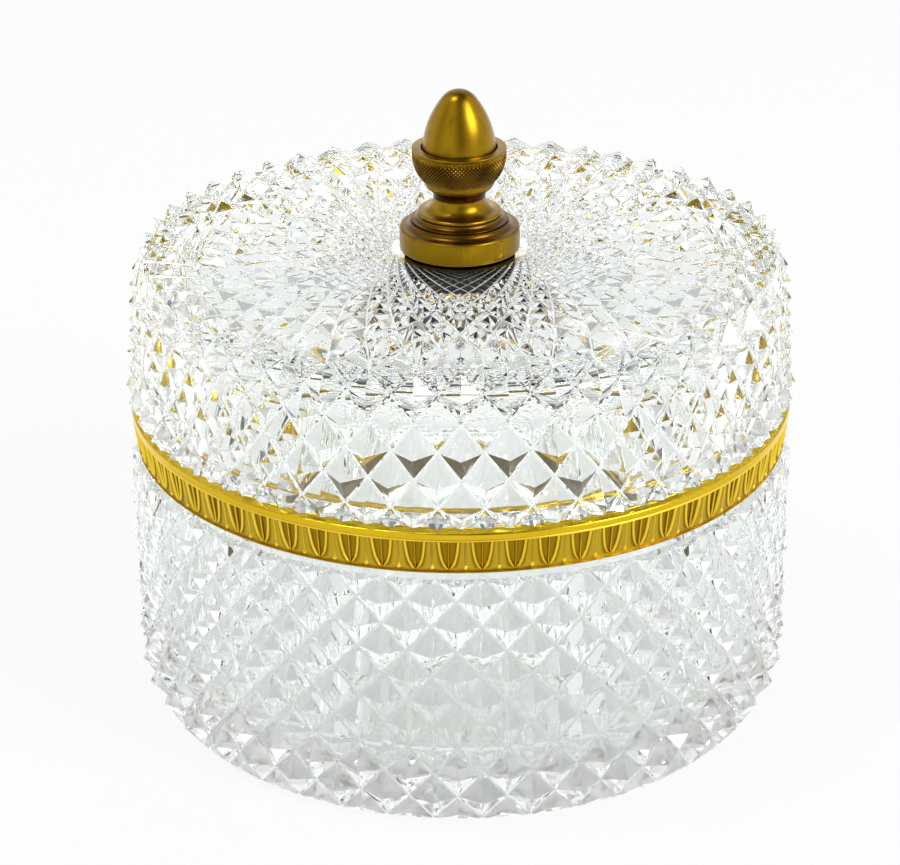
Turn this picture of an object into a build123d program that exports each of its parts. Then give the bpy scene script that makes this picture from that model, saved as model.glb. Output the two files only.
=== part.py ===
from build123d import *
import os
from math import acos, ceil, cos, hypot, pi, radians, sin, tan

# Crystal casket: a round cut-crystal bowl with a gilt collar, and a lift-off cut-crystal lid
# with a turned brass acorn knob. Millimetres, +Z up, origin on the floor at the centre of the bowl.
# The front of the casket is -Y.

# Bowl
bowl_diamonds = 44            # diamonds in one row round the bowl
bowl_rows = 9                 # rows of groove crossings from the floor to the neck
bowl_row_pitch = 6.03         # height from one row of crossings to the next
bowl_first_row = 6.43         # height of the first row above the floor
bowl_tip_radius = 77.4        # to the points of the diamonds
bowl_cut_depth = 2.9          # from the points to the groove crossings
bowl_foot_inset = 4.2         # from the points to the edge of the flat foot
bowl_foot_tip_height = 2.0    # height of the lowest row of points
bowl_foot_taper = 1.5         # from the groove crossings in to those of the foot
bowl_wall = 7.0               # from the groove crossings to the inside
bowl_floor = 9.6
bowl_floor_fillet = 6.0
neck_step = 1.5               # from the groove crossings in to the plain neck
neck_rise = 4.3               # from the last row of crossings up to the neck
neck_show = 2.5               # height of plain neck that shows under the collar

# Collar
collar_height = 9.65          # from the band's lower edge to the top of the ledge
cement_side = 0.6             # bed between the neck and the band
cement_top = 0.55             # bed between the bowl's rim and the seat ring
band_wall = 1.4               # wall of the band at its lower lip
band_lip = 0.7                # height of the lower lip
band_recess = 0.45            # depth of the frieze's ground behind the lip
band_flare = 0.9              # how far the band leans out over its height
band_top_fillet = 0.5         # height of the plain strip above the frieze
ledge_thickness = 1.5
ledge_edge = 0.4              # rounding of the ledge's outer edge
ledge_show = 2.6              # width of the ledge that shows outside the lid's rim
bezel_wall = 0.9              # upright ring inside the ledge, which centres the lid
bezel_rise = 1.2
bezel_edge = 0.3              # rounding of the bezel's upper edges

# Lid
lid_diamonds = 48             # diamonds in one row round the lid
lid_rows = 5                  # rows of groove crossings on the lid's side
lid_row_pitch = 6.13
lid_first_row = 4.55          # height of the first row above the ledge
lid_cut_depth = 3.0           # from the points to the groove crossings
lid_lean = 0.096              # how far the side leans in for each unit of height
lid_tip_drop = 0.65           # how far a point hangs below the middle of its diamond
lid_rim_step = 0.6            # from the first crossings in to the plain rim
lid_rim_height = 0.95
shoulder_rise = 4.9           # from the last side row up to the shoulder's crossings
shoulder_inset = 0.8          # from the last side row in to the shoulder's crossings
shoulder_tip_out = 1.3        # shoulder points, outside their crossings
shoulder_tip_up = 1.5         # shoulder points, above their crossings
top_first_row = 10.35         # from the shoulder's crossings in to the top's first row
top_groove_share = 0.89       # circle that the grooves touch near the land, against the land's radius
top_groove_spread = 0.17      # growth of that circle for each millimetre out from the land
top_land_show = 1.65          # width of the plain land that shows round the knob's foot
top_land_trim = 0.2           # how far the land's edge dips in between its crossings
top_dish = 0.7                # fall of the top from the shoulder to the land
top_facet_angle = 33.0        # slope of the top's facets in degrees
lid_wall = 7.0
lid_top_wall = 6.4
lid_inner_fillet = 7.0
lid_fit = 0.35                # clearance between the lid and the bezel

# Knob
foot_radius = 13.55
foot_height = 5.2
foot_edge = 0.5               # rounding of the foot's upper edge
foot_step_radius = 12.2
foot_step_height = 1.3
ring_radius = 9.8
ring_height = 1.7
torus_height = 4.0            # round moulding above the ring
torus_step = 0.25             # from the ring's edge in to the moulding
neck_radius = 6.15
knob_neck_height = 2.65
neck_cove = 0.45              # depth of the neck's hollow
cup_base_flare = 0.75         # how far the cup's base stands out from the neck
cup_radius = 10.6
cup_height = 8.6
cup_lip_height = 1.4
acorn_radius = 8.3
acorn_length = 15.0
acorn_tip_radius = 4.8        # rounding of the acorn's tip
acorn_sink = 1.85             # depth of the acorn's seat below the cup's lip
acorn_gap = 0.25              # clearance between the acorn and the cup's lip
spigot_radius = 3.6           # pin under the acorn, pressed into the cup
spigot_length = 2.6
spigot_fit = 0.05

# Stud and its fittings
stud_radius = 2.4
stud_clearance = 0.25         # between the stud and the holes it passes through
stud_fit = 0.05               # between the stud and the pieces it screws into
stud_in_cup = 3.6             # length of the stud inside the cup
stud_tail = 2.4               # length of the stud below the nut
stud_chamfer = 0.4
foot_gasket_thickness = 0.3
foot_gasket_inset = 0.8       # from the foot's edge to the gasket's edge
under_gasket_radius = 12.5
under_gasket_thickness = 1.2
washer_radius = 11.0
washer_thickness = 1.0
nut_across_flats = 9.0
nut_height = 5.0
nut_chamfer = 0.7

# Cutting
cut_overrun = 5.0             # how far a cutting profile runs past what it cuts

# Radii and heights that follow from the sizes above
bowl_groove_radius = bowl_tip_radius - bowl_cut_depth
bowl_inner_radius = bowl_groove_radius - bowl_wall
bowl_neck_radius = bowl_groove_radius - neck_step
neck_z = bowl_first_row + (bowl_rows - 1) * bowl_row_pitch + neck_rise
collar_z = neck_z + neck_show
ledge_z = collar_z + collar_height
ring_z = ledge_z - ledge_thickness
rim_z = ring_z - cement_top
bowl_blank_rows = ceil((rim_z - bowl_first_row) / bowl_row_pitch) + 1
above_bowl_z = bowl_first_row + bowl_blank_rows * bowl_row_pitch
bowl_cut_radius = bowl_tip_radius + cut_overrun
band_inner_radius = bowl_neck_radius + cement_side
band_lip_radius = band_inner_radius + band_wall
ledge_radius = band_lip_radius + band_flare
lid_rim_radius = ledge_radius - ledge_show
lid_groove_radius = lid_rim_radius + lid_rim_step
lid_tip_radius = lid_groove_radius + lid_cut_depth
lid_inner_radius = lid_groove_radius - lid_wall
bezel_radius = lid_inner_radius - lid_fit
lid_cut_radius = lid_tip_radius + cut_overrun
below_lid_z = ledge_z - lid_row_pitch - cut_overrun
lid_last_row_z = ledge_z + lid_first_row + (lid_rows - 1) * lid_row_pitch
shoulder_z = lid_last_row_z + shoulder_rise
shoulder_radius = lid_groove_radius - lid_lean * (lid_rows - 1) * lid_row_pitch - shoulder_inset
top_land_radius = foot_radius + top_land_show
land_z = shoulder_z - top_dish
lid_under_z = land_z - lid_top_wall
foot_z = land_z + foot_gasket_thickness
pedestal_z = foot_z + foot_height + foot_step_height
cup_z = pedestal_z + ring_height + torus_height + knob_neck_height
cup_lip_z = cup_z + cup_height
acorn_z = cup_lip_z - acorn_sink
washer_z = lid_under_z - under_gasket_thickness
nut_top_z = washer_z - washer_thickness
nut_z = nut_top_z - nut_height
stud_z = nut_z - stud_tail
stud_top_z = cup_z + stud_in_cup
cup_base_radius = neck_radius + cup_base_flare
stud_hole_radius = stud_radius + stud_clearance
stud_thread_radius = stud_radius + stud_fit

os.makedirs("parts", exist_ok=True)


# Diamond cutting: two crossing families of grooves leave rows of four-sided points.
# Each row is (radius, height) of its groove crossings, with (radius, height) of its points;
# with a first shift of 0 the lowest row has a crossing at the front.
def on_circle(radius, height, turn):
    return Vector(radius * sin(turn), -radius * cos(turn), height)


def triangle(a, b, c):
    return Face(Wire.make_polygon([a, b, c]))


def diamond_blank(count, rows, tips, first_shift, foot=None):
    half_turn = pi / count
    last = len(rows) - 1
    faces = []
    lower_edge = []
    upper_edge = []
    for index, (row, tip) in enumerate(zip(rows, tips)):
        shift = (index + first_shift) % 2
        for step in range(count):
            turn = (2 * step + shift) * half_turn
            left = on_circle(*row, turn)
            right = on_circle(*row, turn + 2 * half_turn)
            point = on_circle(*tip, turn + half_turn)
            if index > 0:
                below = on_circle(*rows[index - 1], turn + half_turn)
            else:
                below = on_circle(*foot, turn + half_turn) if foot else point
                lower_edge += [left, below]
            if index > 0 or foot:
                faces += [triangle(point, left, below), triangle(point, below, right)]
            if index < last:
                above = on_circle(*rows[index + 1], turn + half_turn)
                faces += [triangle(point, above, left), triangle(point, right, above)]
            else:
                upper_edge += [left, point]
    faces += [Face(Wire.make_polygon(lower_edge)), Face(Wire.make_polygon(upper_edge))]
    return Solid(Shell(faces))


# Bowl rows run from the foot past the rim, and the plain neck is turned out of them
bowl_crossings = [(bowl_groove_radius - bowl_foot_taper, 0)]
bowl_points = [(bowl_tip_radius, bowl_foot_tip_height)]
for row in range(bowl_blank_rows):
    row_z = bowl_first_row + row * bowl_row_pitch
    bowl_crossings.append((bowl_groove_radius, row_z))
    bowl_points.append((bowl_tip_radius, row_z))
bowl_foot = (bowl_tip_radius - bowl_foot_inset, 0)
bowl_blank = diamond_blank(bowl_diamonds, bowl_crossings, bowl_points, first_shift=1, foot=bowl_foot)

with BuildPart() as bowl:
    add(bowl_blank)
    # Plain neck and rim
    with BuildSketch(Plane.XZ):
        with BuildLine():
            Polyline(
                (bowl_neck_radius, neck_z),
                (bowl_cut_radius, neck_z),
                (bowl_cut_radius, above_bowl_z),
                (0, above_bowl_z),
                (0, rim_z),
                (bowl_neck_radius, rim_z),
                close=True,
            )
        make_face()
    revolve(axis=Axis.Z, mode=Mode.SUBTRACT)
    # Smooth inside
    with BuildSketch(Plane.XZ) as bowl_inside:
        with BuildLine():
            Polyline(
                (0, bowl_floor),
                (bowl_inner_radius, bowl_floor),
                (bowl_inner_radius, above_bowl_z),
                (0, above_bowl_z),
                close=True,
            )
        make_face()
        fillet(bowl_inside.vertices().group_by(Axis.Y)[0].sort_by(Axis.X)[-1], bowl_floor_fillet)
    revolve(axis=Axis.Z, mode=Mode.SUBTRACT)
bowl.part.label = "bowl"
export_step(bowl.part, "parts/bowl.step")

with BuildPart() as frieze_band:
    with BuildSketch(Plane.XZ):
        with BuildLine():
            Polyline(
                (band_inner_radius, collar_z),
                (band_lip_radius, collar_z),
                (band_lip_radius, collar_z + band_lip),
                (band_lip_radius - band_recess, collar_z + band_lip),
                (ledge_radius - band_recess, ring_z - band_top_fillet),
                (ledge_radius, ring_z - band_top_fillet),
                (ledge_radius, ring_z),
                (band_inner_radius, ring_z),
                close=True,
            )
        make_face()
    revolve(axis=Axis.Z)
frieze_band.part.label = "frieze_band"
export_step(frieze_band.part, "parts/frieze_band.step")

with BuildPart() as collar_cement:
    with BuildSketch(Plane.XZ):
        with BuildLine():
            Polyline(
                (bowl_neck_radius, collar_z + band_lip),
                (band_inner_radius, collar_z + band_lip),
                (band_inner_radius, ring_z),
                (bowl_inner_radius, ring_z),
                (bowl_inner_radius, rim_z),
                (bowl_neck_radius, rim_z),
                close=True,
            )
        make_face()
    revolve(axis=Axis.Z)
collar_cement.part.label = "collar_cement"
export_step(collar_cement.part, "parts/collar_cement.step")

with BuildPart() as seat_ring:
    with BuildSketch(Plane.XZ) as seat_section:
        with BuildLine():
            Polyline(
                (bezel_radius - bezel_wall, ring_z),
                (ledge_radius, ring_z),
                (ledge_radius, ledge_z),
                (bezel_radius, ledge_z),
                (bezel_radius, ledge_z + bezel_rise),
                (bezel_radius - bezel_wall, ledge_z + bezel_rise),
                close=True,
            )
        make_face()
        fillet(seat_section.vertices().sort_by(Axis.X)[-2:].sort_by(Axis.Y)[-1], ledge_edge)
        fillet(seat_section.vertices().group_by(Axis.Y)[-1], bezel_edge)
    revolve(axis=Axis.Z)
seat_ring.part.label = "seat_ring"
export_step(seat_ring.part, "parts/seat_ring.step")

# Lid rows run up the side, over the shoulder and along the grooves of the top to the knob
lid_crossings = []
lid_points = []
for row in range(-1, lid_rows):
    row_z = ledge_z + lid_first_row + row * lid_row_pitch
    row_radius = lid_groove_radius - lid_lean * row * lid_row_pitch
    lid_crossings.append((row_radius, row_z))
    lid_points.append((row_radius + lid_cut_depth, row_z - lid_tip_drop))
lid_points[0] = (lid_points[0][0], lid_crossings[0][1])
lid_crossings.append((shoulder_radius, shoulder_z))
lid_points.append((shoulder_radius + shoulder_tip_out, shoulder_z + shoulder_tip_up))

# Each groove runs nearly straight from one row to the next, and touches a circle round the axis
top_radii = [shoulder_radius]
next_radius = shoulder_radius - top_first_row
while next_radius > top_land_radius:
    top_radii.append(next_radius)
    groove_circle = top_groove_share * top_land_radius + top_groove_spread * (next_radius - top_land_radius)
    groove_turn = acos(groove_circle / next_radius) - pi / lid_diamonds
    next_radius = groove_circle / cos(groove_turn)
top_slope = top_dish / (shoulder_radius - top_radii[-1])
for outer, here, inner in zip(top_radii, top_radii[1:], top_radii[2:]):
    half_width = here * sin(pi / lid_diamonds)
    half_length = (outer - inner) / 2
    point_height = tan(radians(top_facet_angle)) * half_width * half_length / hypot(half_width, half_length)
    here_z = shoulder_z - top_slope * (shoulder_radius - here)
    lid_crossings.append((here, here_z))
    lid_points.append((here, here_z + point_height))
lid_crossings.append((top_radii[-1], land_z))
lid_points.append((top_radii[-1] * cos(pi / lid_diamonds) - top_land_trim, land_z))
lid_blank = diamond_blank(lid_diamonds, lid_crossings, lid_points, first_shift=0)

with BuildPart() as lid:
    add(lid_blank)
    # Plain rim that stands on the ledge
    with BuildSketch(Plane.XZ):
        with BuildLine():
            Polyline(
                (lid_rim_radius, ledge_z + lid_rim_height),
                (lid_cut_radius, ledge_z + lid_rim_height),
                (lid_cut_radius, below_lid_z),
                (0, below_lid_z),
                (0, ledge_z),
                (lid_rim_radius, ledge_z),
                close=True,
            )
        make_face()
    revolve(axis=Axis.Z, mode=Mode.SUBTRACT)
    # Smooth inside
    with BuildSketch(Plane.XZ) as lid_inside:
        with BuildLine():
            Polyline(
                (0, below_lid_z),
                (lid_inner_radius, below_lid_z),
                (lid_inner_radius, lid_under_z),
                (0, lid_under_z),
                close=True,
            )
        make_face()
        fillet(lid_inside.vertices().group_by(Axis.Y)[-1].sort_by(Axis.X)[-1], lid_inner_fillet)
    revolve(axis=Axis.Z, mode=Mode.SUBTRACT)
    # Hole for the stud
    with BuildSketch(Plane.XY.offset(below_lid_z)):
        Circle(stud_hole_radius)
    extrude(amount=land_z + cut_overrun - below_lid_z, mode=Mode.SUBTRACT)
lid.part.label = "lid"
export_step(lid.part, "parts/lid.step")

with BuildPart() as foot_gasket:
    with BuildSketch(Plane.XY.offset(land_z)):
        Circle(foot_radius - foot_gasket_inset)
        Circle(stud_hole_radius, mode=Mode.SUBTRACT)
    extrude(amount=foot_gasket_thickness)
foot_gasket.part.label = "foot_gasket"
export_step(foot_gasket.part, "parts/foot_gasket.step")

with BuildPart() as knob_foot:
    with BuildSketch(Plane.XZ) as foot_section:
        with BuildLine():
            Polyline(
                (stud_hole_radius, foot_z),
                (foot_radius, foot_z),
                (foot_radius, foot_z + foot_height),
                (foot_step_radius, foot_z + foot_height),
                (foot_step_radius, pedestal_z),
                (stud_hole_radius, pedestal_z),
                close=True,
            )
        make_face()
        fillet(foot_section.vertices().group_by(Axis.X)[-1].sort_by(Axis.Y)[-1], foot_edge)
        fillet(foot_section.vertices().group_by(Axis.Y)[-1].sort_by(Axis.X)[-1], foot_step_height / 2)
    revolve(axis=Axis.Z)
knob_foot.part.label = "knob_foot"
export_step(knob_foot.part, "parts/knob_foot.step")

ring_top_z = pedestal_z + ring_height
torus_top_z = ring_top_z + torus_height
waist_z = (torus_top_z + cup_z) / 2

with BuildPart() as knob_neck:
    with BuildSketch(Plane.XZ):
        with BuildLine():
            Polyline(
                (ring_radius - torus_step, ring_top_z),
                (ring_radius, ring_top_z),
                (ring_radius, pedestal_z),
                (stud_hole_radius, pedestal_z),
                (stud_hole_radius, cup_z),
                (cup_base_radius, cup_z),
            )
            # Hollow of the neck, from the cup down to its waist and out to the moulding
            EllipticalCenterArc(
                (cup_base_radius, waist_z),
                cup_base_flare,
                cup_z - waist_z,
                start_angle=90,
                arc_size=90,
            )
            EllipticalCenterArc(
                (neck_radius + neck_cove, waist_z),
                neck_cove,
                waist_z - torus_top_z,
                start_angle=180,
                arc_size=90,
            )
            EllipticalCenterArc(
                (neck_radius + neck_cove, ring_top_z),
                ring_radius - torus_step - neck_radius - neck_cove,
                torus_height,
                start_angle=0,
                arc_size=90,
            )
        make_face()
    revolve(axis=Axis.Z)
knob_neck.part.label = "knob_neck"
export_step(knob_neck.part, "parts/knob_neck.step")

cup_shoulder_z = cup_lip_z - cup_lip_height

with BuildPart() as acorn_cup:
    with BuildSketch(Plane.XZ):
        with BuildLine():
            Line((stud_thread_radius, cup_z), (cup_base_radius, cup_z))
            EllipticalCenterArc(
                (cup_base_radius - cup_lip_height, cup_shoulder_z),
                cup_radius - cup_base_radius + cup_lip_height,
                cup_shoulder_z - cup_z,
                start_angle=-90,
                arc_size=90,
            )
            Polyline(
                (cup_radius, cup_shoulder_z),
                (cup_radius, cup_lip_z),
                (acorn_radius + acorn_gap, cup_lip_z),
                (acorn_radius + acorn_gap, acorn_z),
                (spigot_radius + spigot_fit, acorn_z),
                (spigot_radius + spigot_fit, acorn_z - spigot_length),
                (0, acorn_z - spigot_length),
                (0, stud_top_z),
                (stud_thread_radius, stud_top_z),
                (stud_thread_radius, cup_z),
            )
        make_face()
    revolve(axis=Axis.Z)
acorn_cup.part.label = "acorn_cup"
export_step(acorn_cup.part, "parts/acorn_cup.step")

# The acorn's side is an arc that meets the round tip without a corner
tip_centre = Vector(0, acorn_z + acorn_length - acorn_tip_radius)
tip_rise = acorn_length - acorn_tip_radius
side_radius = (acorn_radius**2 + tip_rise**2 - acorn_tip_radius**2) / (2 * (acorn_radius - acorn_tip_radius))
side_centre = Vector(acorn_radius - side_radius, acorn_z)
side_end = tip_centre + (tip_centre - side_centre).normalized() * acorn_tip_radius

with BuildPart() as acorn:
    with BuildSketch(Plane.XZ):
        with BuildLine():
            Polyline(
                (0, acorn_z + acorn_length),
                (0, acorn_z - spigot_length),
                (spigot_radius, acorn_z - spigot_length),
                (spigot_radius, acorn_z),
                (acorn_radius, acorn_z),
            )
            side = TangentArc((acorn_radius, acorn_z), side_end, tangent=(0, 1))
            TangentArc(side_end, (0, acorn_z + acorn_length), tangent=side % 1)
        make_face()
    revolve(axis=Axis.Z)
acorn.part.label = "acorn"
export_step(acorn.part, "parts/acorn.step")

with BuildPart() as knob_stud:
    with BuildSketch(Plane.XY.offset(stud_z)):
        Circle(stud_radius)
    extrude(amount=stud_top_z - stud_z)
    chamfer(knob_stud.edges().filter_by(GeomType.CIRCLE), stud_chamfer)
knob_stud.part.label = "knob_stud"
export_step(knob_stud.part, "parts/knob_stud.step")

with BuildPart() as under_gasket:
    with BuildSketch(Plane.XY.offset(washer_z)):
        Circle(under_gasket_radius)
        Circle(stud_hole_radius, mode=Mode.SUBTRACT)
    extrude(amount=under_gasket_thickness)
under_gasket.part.label = "under_gasket"
export_step(under_gasket.part, "parts/under_gasket.step")

with BuildPart() as under_washer:
    with BuildSketch(Plane.XY.offset(nut_top_z)):
        Circle(washer_radius)
        Circle(stud_hole_radius, mode=Mode.SUBTRACT)
    extrude(amount=washer_thickness)
under_washer.part.label = "under_washer"
export_step(under_washer.part, "parts/under_washer.step")

nut_radius = nut_across_flats / 2
with BuildPart() as under_nut:
    with BuildSketch(Plane.XY.offset(nut_z)):
        RegularPolygon(nut_radius, 6, major_radius=False)
    extrude(amount=nut_height)
    # Rounded corners at the lower end, as a turned nut has
    with BuildSketch(Plane.XZ):
        with BuildLine():
            Polyline(
                (nut_radius, nut_z),
                (2 * nut_radius, nut_z),
                (2 * nut_radius, nut_z + nut_radius + nut_chamfer),
                close=True,
            )
        make_face()
    revolve(axis=Axis.Z, mode=Mode.SUBTRACT)
    with BuildSketch(Plane.XY.offset(nut_z)):
        Circle(stud_thread_radius)
    extrude(amount=nut_height, mode=Mode.SUBTRACT)
under_nut.part.label = "under_nut"
export_step(under_nut.part, "parts/under_nut.step")
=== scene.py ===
from math import acos, atan2, cos, degrees, hypot, pi, radians, sin, sqrt, tan

import bmesh
import bpy
from mathutils import Matrix, Vector


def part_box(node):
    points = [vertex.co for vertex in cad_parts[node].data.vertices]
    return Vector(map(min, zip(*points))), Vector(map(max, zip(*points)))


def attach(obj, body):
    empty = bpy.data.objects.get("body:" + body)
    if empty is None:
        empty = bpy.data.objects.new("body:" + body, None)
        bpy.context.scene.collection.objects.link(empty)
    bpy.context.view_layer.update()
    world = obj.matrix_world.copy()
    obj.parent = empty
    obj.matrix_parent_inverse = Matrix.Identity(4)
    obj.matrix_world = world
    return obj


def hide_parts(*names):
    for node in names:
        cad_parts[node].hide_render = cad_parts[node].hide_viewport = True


# Crystal casket: diamond-cut bowl and lid, gilt collar with a frieze of leaves, brass acorn knob.
# Metres, +Z up, front at -Y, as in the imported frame.

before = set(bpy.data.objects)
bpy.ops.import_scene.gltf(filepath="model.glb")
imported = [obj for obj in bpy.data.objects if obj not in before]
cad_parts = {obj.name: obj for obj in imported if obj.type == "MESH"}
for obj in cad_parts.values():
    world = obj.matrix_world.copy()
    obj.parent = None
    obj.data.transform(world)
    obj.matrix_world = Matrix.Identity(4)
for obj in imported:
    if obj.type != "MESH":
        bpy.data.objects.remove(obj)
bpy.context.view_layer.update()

MM = 0.001

# Corners of the CAD nodes that the pieces below stand for
bowl_low, bowl_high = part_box("bowl")
band_low, band_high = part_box("frieze_band")
ring_low, ring_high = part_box("seat_ring")
lid_low, lid_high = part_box("lid")
foot_low, foot_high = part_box("knob_foot")
neck_low, neck_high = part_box("knob_neck")
cup_low, cup_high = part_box("acorn_cup")
acorn_low, acorn_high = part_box("acorn")
gasket_low, gasket_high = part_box("foot_gasket")
pad_low, pad_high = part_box("under_gasket")
cement_low, cement_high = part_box("collar_cement")
stud_low, stud_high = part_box("knob_stud")

# Cutting
BOWL_GROOVE_SHARE = 10.0          # round that the wheel leaves along a groove, in percent of a facet's ridge
LID_GROOVE_SHARE = 10.0
RIDGE_WIDTH = 0.10 * MM           # polish along the ridges
CRYSTAL_IOR = 1.56
GROUND_SHARE = 0.3                # matt part of the ground faces
GROUND_ROUGHNESS = 0.35
LEAST_BEND = radians(6)           # flatter edges keep no bevel

# Bowl
BOWL_DIAMONDS = 44
BOWL_TURN = radians(-0.86)        # of the cutting, against the front
BOWL_ROWS = 9
BOWL_ROW_PITCH = 6.03 * MM
BOWL_FIRST_ROW = 6.43 * MM
BOWL_CUT_DEPTH = 2.9 * MM
BOWL_FOOT_INSET = 4.2 * MM
BOWL_FOOT_TAPER = 1.5 * MM
BOWL_FOOT_TIP = 2.0 * MM
BOWL_FOOT_TIP_INSET = 2.4 * MM    # of the lowest points, which keep the foot's outline smooth
BOWL_WALL = 7.0 * MM
BOWL_FLOOR = 9.6 * MM
BOWL_FLOOR_FILLET = 6.0 * MM
NECK_STEP = 1.5 * MM
NECK_RISE = 4.3 * MM
RIM_ROUNDING = 0.4 * MM
SEAT_GAP = 0.08 * MM              # air under the lid's rim

# Lid
LID_DIAMONDS = 48
LID_ROWS = 5
LID_ROW_PITCH = 6.13 * MM
LID_FIRST_ROW = 4.55 * MM
LID_CUT_DEPTH = 3.0 * MM
LID_LEAN = 0.096
LID_TIP_DROP = 0.65 * MM
LID_RIM_STEP = 0.6 * MM
LID_RIM_HEIGHT = 0.95 * MM
LEDGE_SHOW = 2.6 * MM
SHOULDER_RISE = 4.9 * MM
SHOULDER_INSET = 0.8 * MM
SHOULDER_TIP_OUT = 1.3 * MM
SHOULDER_TIP_UP = 1.5 * MM
SHOULDER_POINT = 0.88 * MM        # reach of the bevels that end at a crossing there
TOP_FIRST_ROW = 10.35 * MM
TOP_GROOVE_SHARE = 0.89
TOP_GROOVE_SPREAD = 0.17
TOP_LAND_SHOW = 1.65 * MM
TOP_FACET_ANGLE = radians(33)
NET_REACH = 40 * MM               # radius inside which the top's grooves stay matt
LID_WALL = 7.0 * MM
LID_INNER_FILLET = 7.0 * MM
LID_FIT = 0.35 * MM
STUD_CLEARANCE = 0.25 * MM

# Collar
LEAVES = 68
LEAF_TURN = -0.39                 # of the frieze against the front, in leaves
LEAF_ROWS = 34
LEAF_FOOT = 0.07                  # where the leaf's tip lies, as a share of the frieze's height
LEAF_HALF = 0.345                 # half of the leaf's width at its top, in leaf pitches, as are the next five
LEAF_RIM = 0.12
LEAF_VEIN = 0.03
LEAF_LEAST = 0.02
DART_HALF = 0.03
BALL_REACH = 0.075
BALL_HEIGHT = 0.11                # share of the frieze's height
LEAF_CURVE = 0.36                 # how fast the leaf widens above its tip
LEAF_WAIST = 0.18                 # how much it narrows again towards its top
LEAF_START = 0.03                 # share of the leaf's height over which its relief sets in
RIM_MOST = 0.8                    # most of the leaf's half width that the rim takes
RIM_PLACES = (0.25, 0.5, 0.8)     # of the rim's section, from its inner to its outer edge
# Relief and painted light and shade of a leaf's section from the vein to the edge, as shares of the full
# relief
LEAF_SECTION = (
    (0.6, 0.7),
    (0.35, 0.5),
    (-0.5, -0.4),
    (-0.6, -0.2),
    (-0.4, -0.4),
    (0.6, 0.8),
    (1.0, 1.0),
    (0.7, 0.8),
    (0.0, -0.4),
)
GROUND_PAINTED_SHADE = 0.1                 # painted shade of the ground between the leaves
DART_RELIEF = 0.65
BALL_RELIEF = 1.1
LEAF_RELIEF = 0.45 * MM
BAND_LIP = 0.4 * MM
BAND_RECESS = 0.45 * MM
BAND_FLARE = 0.9 * MM
BAND_STRIP = 0.5 * MM
BAND_WALL = 1.4 * MM
BEZEL_WALL = 0.9 * MM
BEZEL_SHOW = 0.3 * MM             # of the rim inside the ledge
LEDGE_EDGE = 0.4 * MM

# Knob
FOOT_HEIGHT = 5.2 * MM
FOOT_EDGE = 0.5 * MM
FOOT_SLOPE_RADIUS = 11.1 * MM     # where the foot's sloping top ends
RING_RADIUS = 9.5 * MM
RING_HEIGHT = 1.35 * MM
BEAD_HEIGHT = 1.0 * MM            # round edge of the bell above the ring
BELL_RADIUS = 8.9 * MM
BELL_HEIGHT = 3.3 * MM
WAIST_RADIUS = 5.85 * MM
WAIST_SHOW = 2.0 * MM             # waist between the bell and the cup, painted dark as shade under the cup
WAIST_EDGE = 0.1 * MM             # over which that painted shade fades
CUP_DROP = 0.85 * MM              # of the cup's plain base below its CAD node
CUP_BASE_RADIUS = 6.6 * MM
CUP_ROUND = 5.5 * MM              # radius where the centre of the cup's round lies
CUP_LIP = 1.4 * MM
CUP_PLAIN_LIP = 0.6 * MM
ACORN_TIP_RADIUS = 4.8 * MM
ACORN_SINK = 1.85 * MM
KNURLS = 72
KNURL_ROWS = 17
KNURL_LIP_ROWS = 2                # that run up the lip
KNURL_DEPTH = 0.28 * MM
KNURL_FIRST = radians(-62)        # the knurling's lower and upper end on the cup's round
KNURL_LAST = radians(-4)
SHARP = 0.15 * MM                 # broken edge of a turned corner

TURNED_STEPS = 144


# Mesh makers
def new_piece(name, bm, body, nodes, materials, smooth_angle=radians(35)):
    mesh = bpy.data.meshes.new(name)
    smooth = [face.smooth for face in bm.faces]
    bm.to_mesh(mesh)
    bm.free()
    mesh.set_sharp_from_angle(angle=smooth_angle)
    mesh.polygons.foreach_set("use_smooth", smooth)
    for material in materials:
        mesh.materials.append(material)
    piece = bpy.data.objects.new(name, mesh)
    bpy.context.scene.collection.objects.link(piece)
    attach(piece, body)
    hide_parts(*nodes)
    return piece


def arc(centre, radii, start, end, steps):
    """Points of an elliptical arc in the (radius, height) plane, with angles in degrees."""
    points = []
    for step in range(steps + 1):
        angle = radians(start + (end - start) * step / steps)
        points.append((centre[0] + radii[0] * cos(angle), centre[1] + radii[1] * sin(angle)))
    return points


def corner(place, size, start, end, steps=4):
    """A rounded corner whose sides run at the start and end angles from its centre."""
    middle = radians((start + end) / 2)
    reach = size * sqrt(2)
    centre = (place[0] - reach * cos(middle), place[1] - reach * sin(middle))
    return arc(centre, (size, size), start, end, steps)


def merge_close(bm):
    bmesh.ops.remove_doubles(bm, verts=bm.verts, dist=0.002 * MM)


def spin_profile(bm, profile, steps):
    """Turns an open (radius, height) profile round the Z axis."""
    verts = [bm.verts.new((radius, 0, height)) for radius, height in profile]
    edges = [bm.edges.new(pair) for pair in zip(verts, verts[1:])]
    bmesh.ops.spin(
        bm, geom=verts + edges, cent=(0, 0, 0), axis=(0, 0, 1), angle=2 * pi, steps=steps, use_merge=True
    )
    merge_close(bm)


def pattern_round(bm, count):
    """Repeats what is in the mesh round the Z axis and joins the copies."""
    bmesh.ops.spin(
        bm,
        geom=bm.verts[:] + bm.edges[:] + bm.faces[:],
        cent=(0, 0, 0),
        axis=(0, 0, 1),
        angle=2 * pi * (count - 1) / count,
        steps=count - 1,
        use_duplicate=True,
    )
    merge_close(bm)


def on_circle(radius, height, turn):
    return (radius * sin(turn), -radius * cos(turn), height)


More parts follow.
